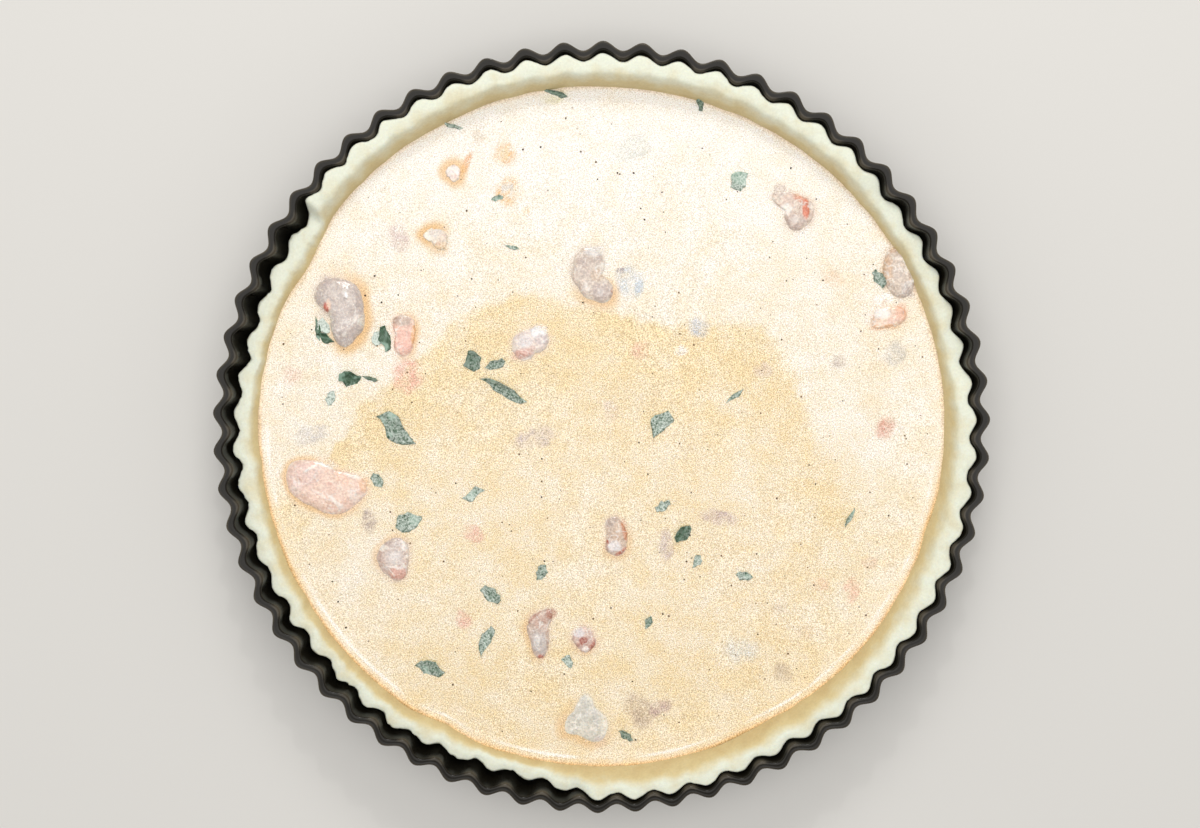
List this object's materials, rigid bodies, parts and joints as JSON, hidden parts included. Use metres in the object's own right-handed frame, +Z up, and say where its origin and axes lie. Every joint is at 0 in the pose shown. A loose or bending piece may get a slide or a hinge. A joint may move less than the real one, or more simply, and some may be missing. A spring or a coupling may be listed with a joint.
{
  "type": "unbaked seafood quiche in a fluted tart tin",
  "caption": "Round fluted tart tin lined with raw pastry and filled with pale liquid custard, with prawns, salmon and white fish standing in it.",
  "frame": {"origin": "centre of the tin's flat underside", "axes": "+Z up, out of the open top; +X and +Y across the tin, which is nearly round"},
  "size_m": [0.2698, 0.27, 0.03],
  "materials": {
    "black_tin": "satin black non-stick coating",
    "raw_pastry": "matt raw shortcrust pastry, pale cream",
    "custard": "wet, foamy cream and egg",
    "prawn_flesh": "wet, raw grey prawn",
    "salmon_flesh": "wet pink salmon",
    "fish_flesh": "wet white fish"
  },
  "bodies": {
    "root": {"tin": "black_tin", "crust": "raw_pastry", "filling": "custard", "prawn_1": "prawn_flesh", "prawn_2": "prawn_flesh", "prawn_3": "prawn_flesh", "prawn_4": "prawn_flesh", "prawn_5": "prawn_flesh", "prawn_6": "prawn_flesh", "prawn_7": "prawn_flesh", "prawn_8": "prawn_flesh", "prawn_9": "prawn_flesh", "prawn_10": "prawn_flesh", "prawn_11": "prawn_flesh", "salmon_1": "salmon_flesh", "salmon_2": "salmon_flesh", "salmon_3": "salmon_flesh", "white_fish_1": "fish_flesh"}
  },
  "joints": []
}
